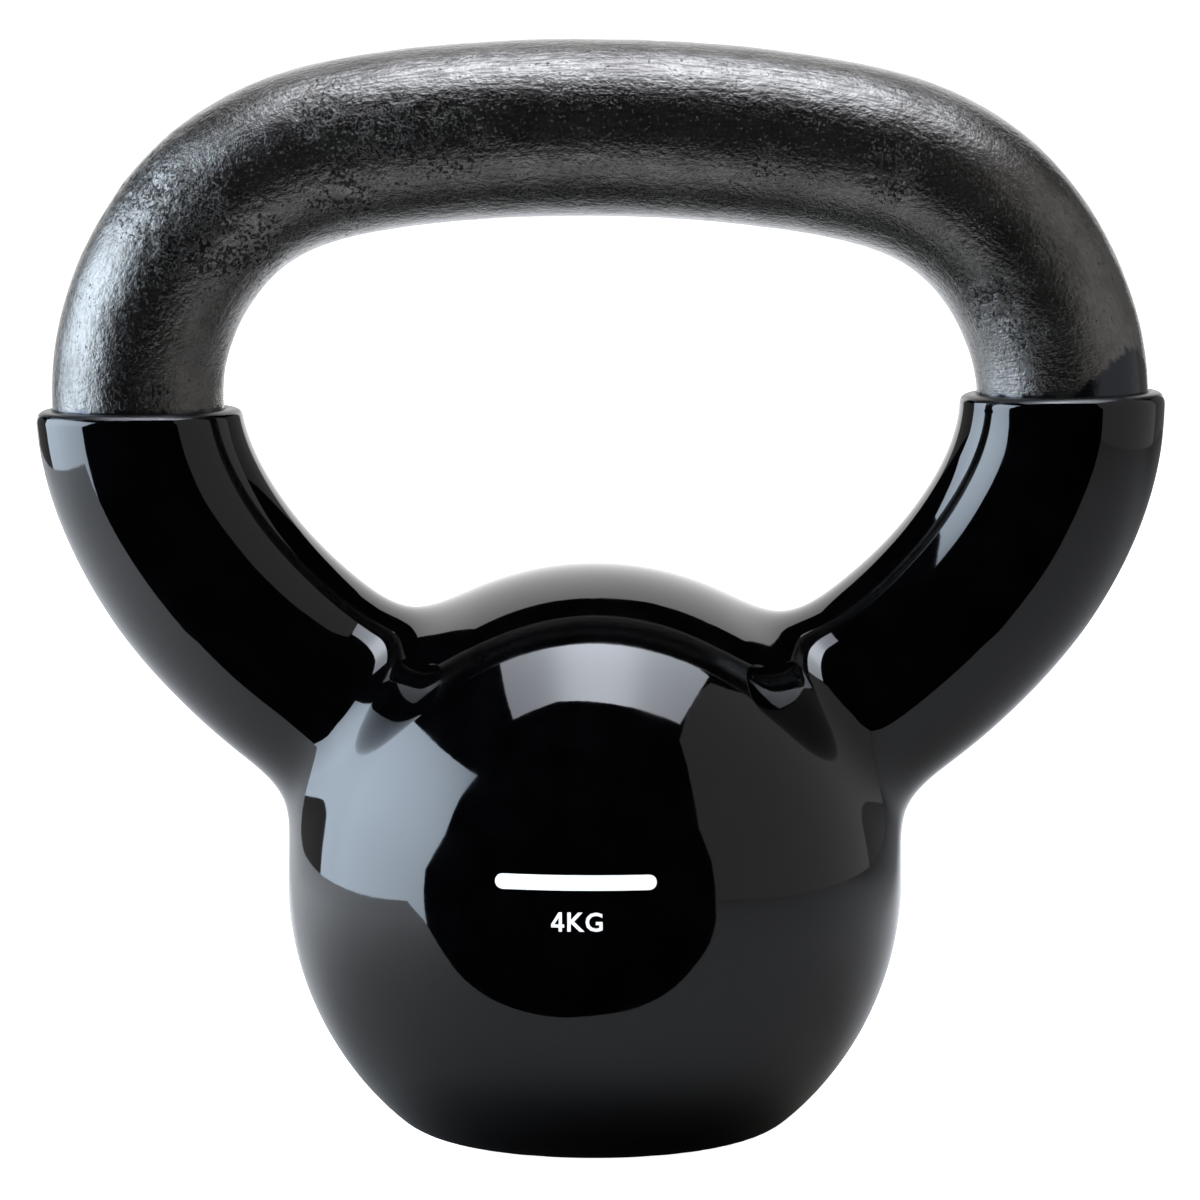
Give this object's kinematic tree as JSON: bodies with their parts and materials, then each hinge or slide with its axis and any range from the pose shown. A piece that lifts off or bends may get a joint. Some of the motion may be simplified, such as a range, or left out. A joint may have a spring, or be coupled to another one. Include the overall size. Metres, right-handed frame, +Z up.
{
  "type": "kettlebell",
  "caption": "Small free weight: an iron ball with a round D-shaped handle, its ball and horns dipped in glossy black vinyl and its handle left as lacquered bare iron.",
  "frame": {"origin": "centre of the flat base, on the surface it stands on", "axes": "+Z up, +X to the right along the handle bar, -Y towards the printed front"},
  "size_m": [0.172, 0.0946, 0.167],
  "materials": {
    "iron": "satin",
    "vinyl": "gloss",
    "ink": "satin"
  },
  "bodies": {
    "root": {"iron_casting": "iron", "vinyl_jacket": "vinyl", "print_bar": "ink", "weight_numeral_4": "ink", "weight_letter_k": "ink", "weight_letter_g": "ink"}
  },
  "joints": []
}
